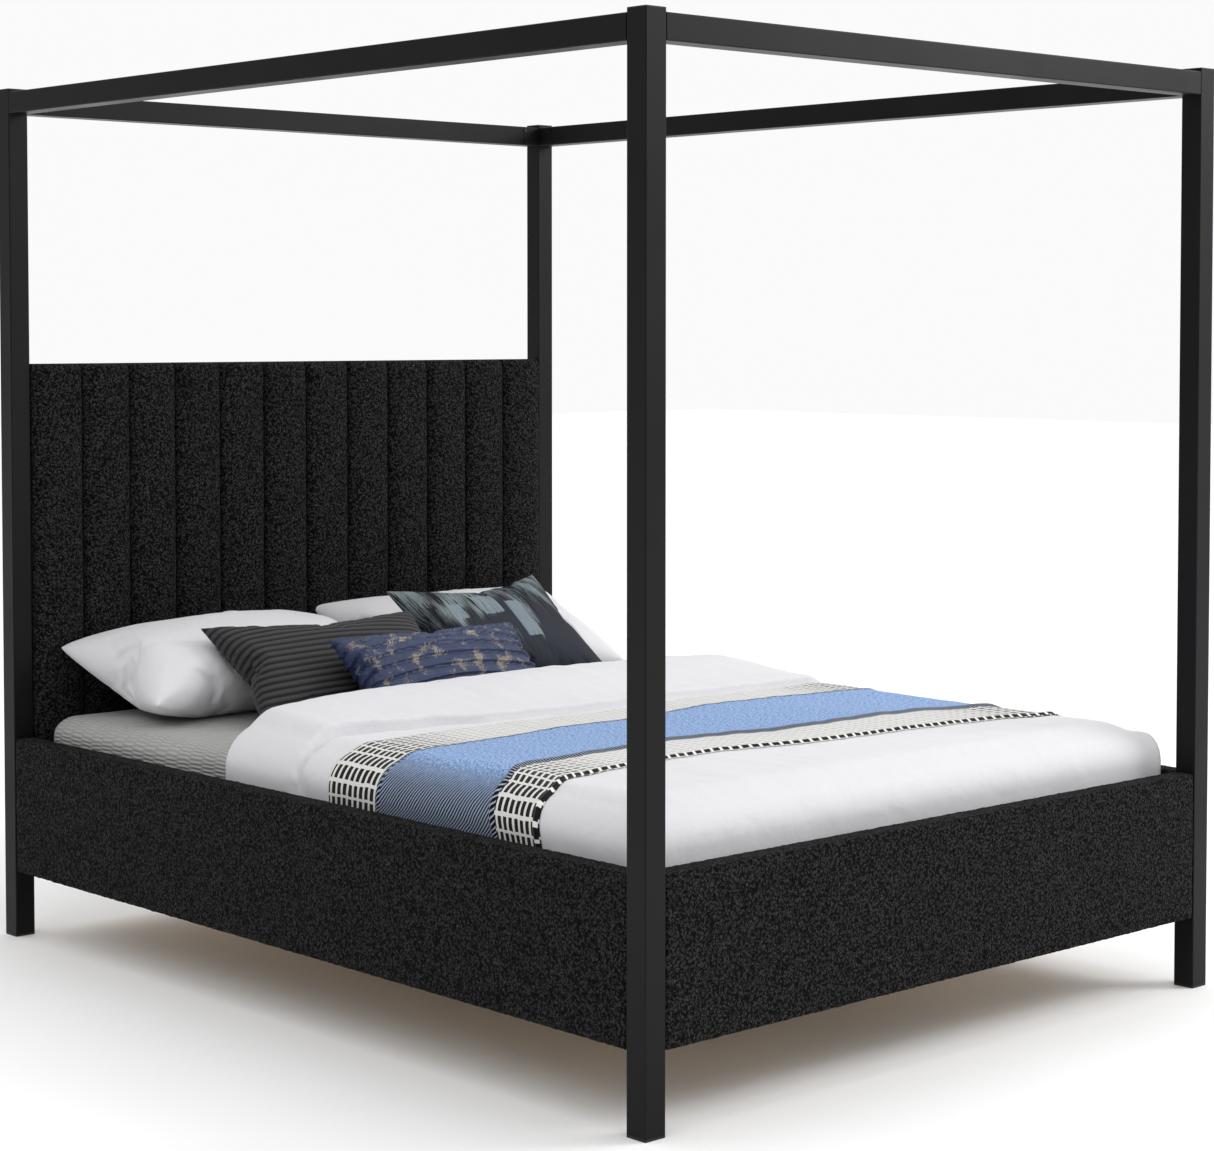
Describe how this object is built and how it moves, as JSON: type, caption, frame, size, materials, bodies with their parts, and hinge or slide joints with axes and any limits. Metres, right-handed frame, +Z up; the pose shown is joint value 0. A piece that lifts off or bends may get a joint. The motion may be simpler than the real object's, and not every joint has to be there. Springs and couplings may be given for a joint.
{
  "type": "four poster canopy bed",
  "caption": "Queen four poster canopy bed: black steel posts and canopy, bouclé-covered rails and channelled headboard, slatted base, made up with bedding.",
  "frame": {"origin": "on the floor, at the middle of the bed's plan", "axes": "+Z up, +Y from the foot to the head, +X to the right of somebody who stands at the foot and faces the head"},
  "size_m": [1.69, 2.222, 2],
  "materials": {
    "black_steel": "satin",
    "black_screws": "satin",
    "zinc_steel": "satin",
    "black_plastic": "matte",
    "pine": "matte",
    "plywood": "matte",
    "black_boucle": "matte",
    "dust_cloth": "matte",
    "mattress_ticking": "matte",
    "grey_seersucker": "matte",
    "white_cotton": "matte",
    "blue_wool": "matte",
    "charcoal_ribbed_velvet": "matte",
    "navy_satin": "satin",
    "slate_painted_canvas": "matte"
  },
  "bodies": {
    "frame": {"beam_hangers": "black_steel", "canopy_rail_foot": "black_steel", "canopy_rail_head": "black_steel", "canopy_rail_left": "black_steel", "canopy_rail_right": "black_steel", "canopy_screws": "black_screws", "canopy_tongues": "black_steel", "centre_beam": "black_steel", "centre_leg_foot": "black_plastic", "centre_leg_head": "black_plastic", "cleat_left": "pine", "cleat_right": "pine", "cushion_navy": "navy_satin", "cushion_painted": "slate_painted_canvas", "cushion_ribbed": "charcoal_ribbed_velvet", "duvet": "white_cotton", "fitted_sheet": "grey_seersucker", "floor_glides": "black_plastic", "hanger_screws": "zinc_steel", "headboard_bolts": "zinc_steel", "headboard_brackets": "black_steel", "headboard_crossbar": "pine", "headboard_dust_cover": "dust_cloth", "headboard_panel": "plywood", "headboard_upholstery": "black_boucle", "mattress": "mattress_ticking", "pillow_left": "white_cotton", "pillow_right": "white_cotton", "post_caps": "black_plastic", "post_foot_left": "black_steel", "post_foot_right": "black_steel", "post_head_left": "black_steel", "post_head_right": "black_steel", "rail_board_foot": "pine", "rail_board_left": "pine", "rail_board_right": "pine", "rail_bolts": "zinc_steel", "rail_brackets": "black_steel", "rail_cover_foot": "black_boucle", "rail_cover_left": "black_boucle", "rail_cover_right": "black_boucle", "slat_01": "pine", "slat_02": "pine", "slat_03": "pine", "slat_04": "pine", "slat_05": "pine", "slat_06": "pine", "slat_07": "pine", "slat_08": "pine", "slat_09": "pine", "slat_10": "pine", "slat_11": "pine", "slat_12": "pine", "slat_screws": "zinc_steel", "throw": "blue_wool"},
    "foot_end_foot": {"foot_pad_foot": "black_plastic", "foot_stud_foot": "zinc_steel"},
    "head_end_foot": {"foot_pad_head": "black_plastic", "foot_stud_head": "zinc_steel"}
  },
  "joints": [
    {"name": "foot_end_screw", "type": "slide", "parent": "frame", "child": "foot_end_foot", "axis": [0, 0, 1], "range_m": [-0.01, 0.01]},
    {"name": "head_end_screw", "type": "slide", "parent": "frame", "child": "head_end_foot", "axis": [0, 0, 1], "range_m": [-0.01, 0.01]}
  ]
}
